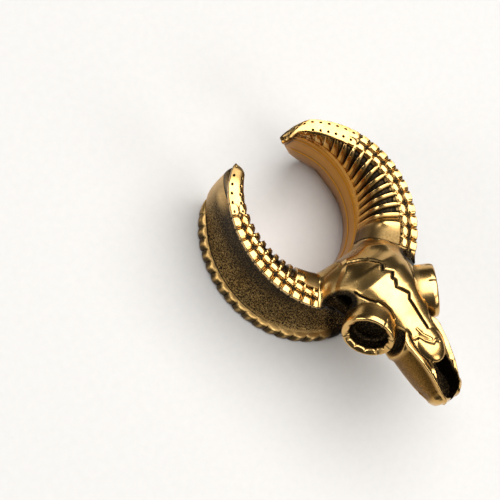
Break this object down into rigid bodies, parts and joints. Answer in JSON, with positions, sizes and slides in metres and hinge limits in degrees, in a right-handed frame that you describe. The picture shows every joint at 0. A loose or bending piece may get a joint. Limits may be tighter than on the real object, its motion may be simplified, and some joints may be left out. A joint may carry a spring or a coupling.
{
  "type": "ram skull saddle ear hanger",
  "caption": "C-shaped saddle hanger for a stretched earlobe, cast in antiqued brass as a ram's skull whose beaded, ribbed horns curl round a flanged wall.",
  "frame": {"origin": "centre of the underside of the whole object's box: below the middle of its length and width, at the level of the flat back face that it rests on", "axes": "+Z along the axis of the C from the back face to the horns, +Y from the head to the mouth between the horn tips, +X to the skull's own left"},
  "size_m": [0.0292, 0.0462, 0.0214],
  "materials": {
    "skull_brass": "polished cast brass with blackened recesses and cracks",
    "horn_brass": "polished beads and ribs with blackened gaps",
    "wall_brass": "satin inside, dark sandblasted groove outside, polished rim and ends"
  },
  "bodies": {
    "root": {"braincase": "skull_brass", "eye_socket_left": "skull_brass", "eye_socket_right": "skull_brass", "horn_left": "horn_brass", "horn_right": "horn_brass", "saddle_left": "wall_brass", "saddle_right": "wall_brass"}
  },
  "joints": []
}
